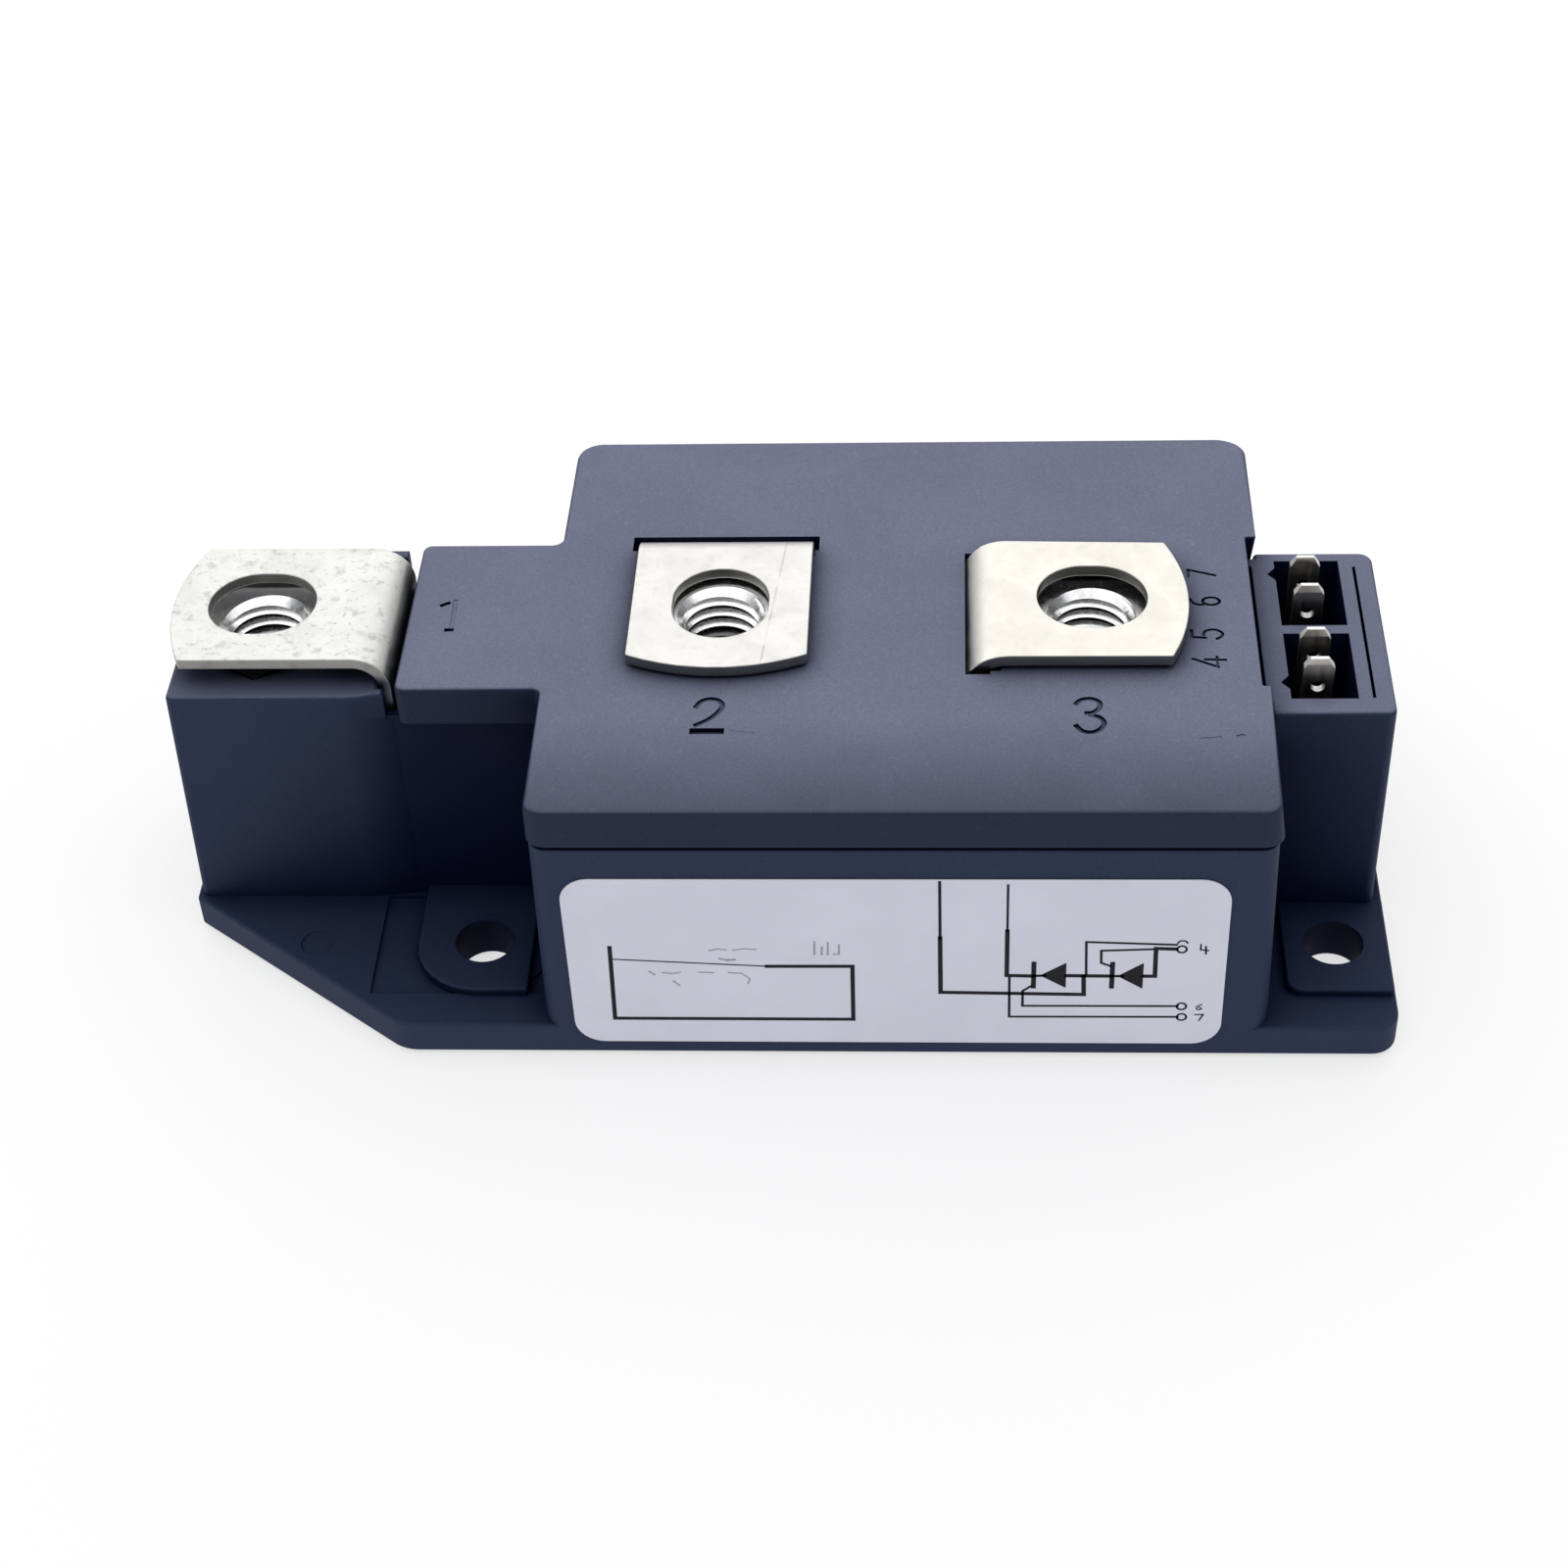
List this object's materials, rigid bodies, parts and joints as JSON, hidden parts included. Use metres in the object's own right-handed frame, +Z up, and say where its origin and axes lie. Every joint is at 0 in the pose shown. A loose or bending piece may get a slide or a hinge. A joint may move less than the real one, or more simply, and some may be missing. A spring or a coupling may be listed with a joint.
{
  "type": "dual thyristor rectifier module",
  "caption": "Flat black power module with a flanged base, bolted bent-strip terminals on top and a keyed gate tab connector; one controlled leg of a bridge rectifier.",
  "frame": {"origin": "centre of the four mounting holes, in the plane of the base plate's underside that meets the heat sink", "axes": "+X along the module from terminal 1 towards the gate connector, +Y towards the back, away from the label, +Z up towards the terminals"},
  "size_m": [0.1145, 0.0548, 0.0321],
  "materials": {
    "base_metal": "nickel-plated copper, fine ground face",
    "bond_silicone": "cured silicone bond line",
    "housing_plastic": "black glass-filled moulding, fine texture",
    "lid_plastic": "black glass-filled moulding, fine texture, lightly scuffed",
    "plated_copper": "tin-plated copper strip, satin",
    "nut_steel": "zinc-plated steel, bright",
    "tab_metal": "tin-plated brass, satin",
    "copper": "bare copper",
    "ceramic": "alumina substrate",
    "silicon": "metallised and glass-passivated silicon",
    "solder": "soft solder",
    "gate_lead_cover": "yellow lead insulation",
    "cathode_lead_cover": "red lead insulation",
    "gel": "clear silicone gel",
    "label_paper": "white sticker with plain printed lines"
  },
  "bodies": {
    "root": {"base_plate": "base_metal", "base_seal": "bond_silicone", "housing": "housing_plastic", "lid": "lid_plastic", "terminal_1": "plated_copper", "terminal_2": "plated_copper", "terminal_3": "plated_copper", "terminal_nuts": "nut_steel", "gate_tab_4": "tab_metal", "cathode_tab_5": "tab_metal", "cathode_tab_6": "tab_metal", "gate_tab_7": "tab_metal", "back_foil_left": "copper", "back_foil_right": "copper", "ceramic_left": "ceramic", "ceramic_right": "ceramic", "anode_pad_left": "copper", "anode_pad_right": "copper", "cathode_pad_left": "copper", "thyristor_chip_left": "silicon", "thyristor_chip_right": "silicon", "cathode_clip": "copper", "cathode_bridge": "copper", "solder_layers": "solder", "gate_lead_4": "gate_lead_cover", "cathode_lead_5": "cathode_lead_cover", "cathode_lead_6": "cathode_lead_cover", "gate_lead_7": "gate_lead_cover", "gel_fill": "gel", "label": "label_paper"}
  },
  "joints": []
}
